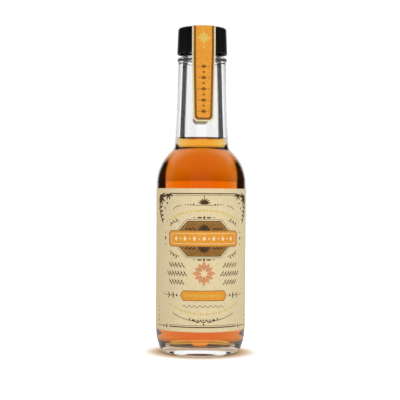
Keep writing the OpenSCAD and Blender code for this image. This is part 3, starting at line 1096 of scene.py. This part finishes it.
def floor_material():
    """White with a painted warm shadow near the bottle, dark in the flags for rays through glass, and aglow
    further off, so that the ring where the glow fades paints a contact shadow.
    """
    material, tree, shader = new_material("studio_floor_white")
    shader.inputs["Roughness"].default_value = 0.9
    shader.inputs["Specular IOR Level"].default_value = 0
    rays = tree.nodes.new("ShaderNodeLightPath")
    coords = tree.nodes.new("ShaderNodeTexCoord")
    across, ahead = directions(tree, coords.outputs["Object"])[:2]
    away = math_node(tree, "SQRT", math_node(tree, "ADD", math_node(tree, "POWER", across, 2),
                                             math_node(tree, "POWER", ahead, 2)))

    dark = math_node(tree, "MULTIPLY", flag_node(tree, across, ahead),
                     step_node(tree, across, *floor_flag_from, True))
    dark = math_node(tree, "MULTIPLY", dark, rays.outputs["Is Transmission Ray"])
    lit = math_node(tree, "MULTIPLY_ADD", dark, -flag_depth, 1)

    tooth = ramp(tree, noise(tree, 40, detail=3), (0.8, 0.8, 0.8, 1), (0.83, 0.83, 0.83, 1))
    # painted warm shadow: the floor's colour turns warm near the bottle
    painted_shadow_tint = tinted(tree, step_node(tree, away, *painted_shadow_until, True), painted_warm_shadow, tooth)
    tree.links.new(tinted(tree, lit, flag_black, painted_shadow_tint), shader.inputs["Base Color"])

    through = math_node(tree, "MAXIMUM", rays.outputs["Is Transmission Ray"], rays.outputs["Is Glossy Ray"])
    seen = math_node(tree, "MINIMUM", 1,
                     math_node(tree, "ADD", rays.outputs["Is Camera Ray"],
                               math_node(tree, "MULTIPLY", through, glass_share)))
    # painted shade: the glow is held back within a ring round the bottle, which darkens that ring as a
    # contact shadow
    glow_past_painted_shade = math_node(tree, "MULTIPLY", lit, step_node(tree, away, *painted_shade_glow_from, True))
    glow = math_node(tree, "MULTIPLY", math_node(tree, "MULTIPLY", seen, glow_past_painted_shade), floor_glow)
    shader.inputs["Emission Color"].default_value = white
    tree.links.new(glow, shader.inputs["Emission Strength"])
    return material


def build_floor():
    """A white sweep: its contact shadow is partly cast by the lamps and partly painted where the glow fades
    near the bottle.
    """
    bm = bmesh.new()
    bmesh.ops.create_circle(bm, cap_ends=True, radius=floor_r, segments=96)
    floor_piece = made("studio_floor", bm)
    floor_piece.data.materials.append(floor_material())


def build_world():
    """White for the camera, a plain level for light, and white with dark flags through glass.

    Gloss sees the same flags and a dim room in front of the bottle.
    """
    world = bpy.data.worlds.new("studio")
    bpy.context.scene.world = world
    world.use_nodes = True
    tree = world.node_tree
    tree.nodes.clear()
    coords = tree.nodes.new("ShaderNodeTexCoord")
    across, ahead, parts = directions(tree, coords.outputs["Generated"])
    dark = math_node(tree, "MULTIPLY", flag_node(tree, across, ahead),
                     step_node(tree, parts.outputs["Z"], *flag_top, False))
    studio = math_node(tree, "MULTIPLY_ADD", dark, -flag_depth, 1)
    behind = step_node(tree, parts.outputs["Y"], *room_from, True)
    room = math_node(tree, "MULTIPLY_ADD", behind, 1 - room_level, room_level)
    rays = tree.nodes.new("ShaderNodeLightPath")
    through = rays.outputs["Is Transmission Ray"]
    glossy = math_node(tree, "MULTIPLY", rays.outputs["Is Glossy Ray"],
                       math_node(tree, "SUBTRACT", 1, through))
    plain = math_node(tree, "MULTIPLY_ADD", rays.outputs["Is Camera Ray"], 1 - world_level, world_level)
    unseen = math_node(tree, "SUBTRACT", 1, math_node(tree, "MAXIMUM", glossy, through))
    reflected = math_node(tree, "MULTIPLY", math_node(tree, "MULTIPLY", room, studio), glossy)
    shown = math_node(tree, "MULTIPLY_ADD", studio, through, reflected)
    strength = math_node(tree, "MULTIPLY_ADD", plain, unseen, shown)
    background = tree.nodes.new("ShaderNodeBackground")
    background.inputs["Color"].default_value = white
    output = tree.nodes.new("ShaderNodeOutputWorld")
    tree.links.new(strength, background.inputs["Strength"])
    tree.links.new(background.outputs["Background"], output.inputs["Surface"])


def build_lamp(name, place, size, level, aim=(0, 0, 0.085)):
    """A soft lamp that adds a level of light on a white face turned to it at its aim."""
    lamp = bpy.data.lights.new(name, "AREA")
    lamp.shape = "RECTANGLE"
    lamp.size, lamp.size_y = size
    reach = sqrt(sum((p - q) ** 2 for p, q in zip(place, aim)))
    lamp.energy = level * pi ** 2 * reach ** 2
    holder = bpy.data.objects.new(name, lamp)
    bpy.context.scene.collection.objects.link(holder)
    holder.location = place
    away = holder.location.copy()
    for i in range(3):
        away[i] -= aim[i]
    holder.rotation_euler = away.to_track_quat("Z", "Y").to_euler()
    holder.visible_glossy = False
    holder.visible_transmission = False


def build_camera():
    """The photograph's own view: level with the label's top, a little to the left, rolled a touch."""
    data = bpy.data.cameras.new("photo_camera")
    data.sensor_width = sensor_w
    data.lens = focal_px / frame_px * data.sensor_width
    data.shift_y = (horizon_row - frame_px / 2) / frame_px
    data.clip_start = 0.01
    camera = bpy.data.objects.new("photo_camera", data)
    bpy.context.scene.collection.objects.link(camera)
    camera.location = (camera_x * MM, -camera_away * MM, camera_z * MM)
    camera.rotation_euler = (radians(90), radians(-camera_roll), 0)
    bpy.context.scene.camera = camera


# The photograph's frame
frame_px = 400
sensor_w = 36
focal_px = 1127
horizon_row = 195
camera_x = -0.64
camera_z = 83.4
camera_away = 600
camera_roll = 0.4

# Light
world_level = 0.62
room_level = 0.12    # what gloss shows of the dim room in front of the bottle
floor_glow = 0.62
glass_share = 0.2    # how much of that glow glass shows
painted_warm_shadow = (0.92, 0.66, 0.42, 1)    # painted shadow: a warm tint put in the floor's colour near the bottle, in place of the light that comes through the liquid
painted_shadow_until = (0.022, 0.034)    # from the axis, where the floor's painted warm shadow gives way to white
painted_shade_glow_from = (0.02, 0.036)      # from the axis, where the glow begins; inside it the floor is painted darker as a tight contact shadow
floor_r = 4000
flag_from_a = 29
flag_to_a = 80
flag_edge_a = 4                # width of a flag's soft edge
flag_depth = 0.98
flag_black = (0.01, 0.01, 0.01, 1)
flag_top = (0.45, 0.6)         # upward part of a direction, where the flags end
floor_flag_from = (0.1, 0.16)  # to either side, where the flags begin on the floor
room_from = (-0.1, 0.45)       # backward part of a direction, where the dim room turns white

build_camera()
build_world()
build_floor()
build_glass()
build_liquid()
build_cap()
build_label()
label_art()
build_strip()
strip_art()
for node, material in (("dasher_insert", insert_material()), ("cap_liner", foam_material())):
    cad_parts[node].data.materials.clear()
    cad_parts[node].data.materials.append(material)
build_lamp("key_right", place=(0.55, -0.8, 0.45), size=(0.5, 0.8), level=0.36)
build_lamp("fill_left", place=(-0.65, -0.75, 0.35), size=(0.5, 0.8), level=0.22)
build_lamp("top_back", place=(0, 0.35, 0.95), size=(0.9, 0.6), level=0.22)

bpy.context.scene.view_settings.view_transform = "Standard"
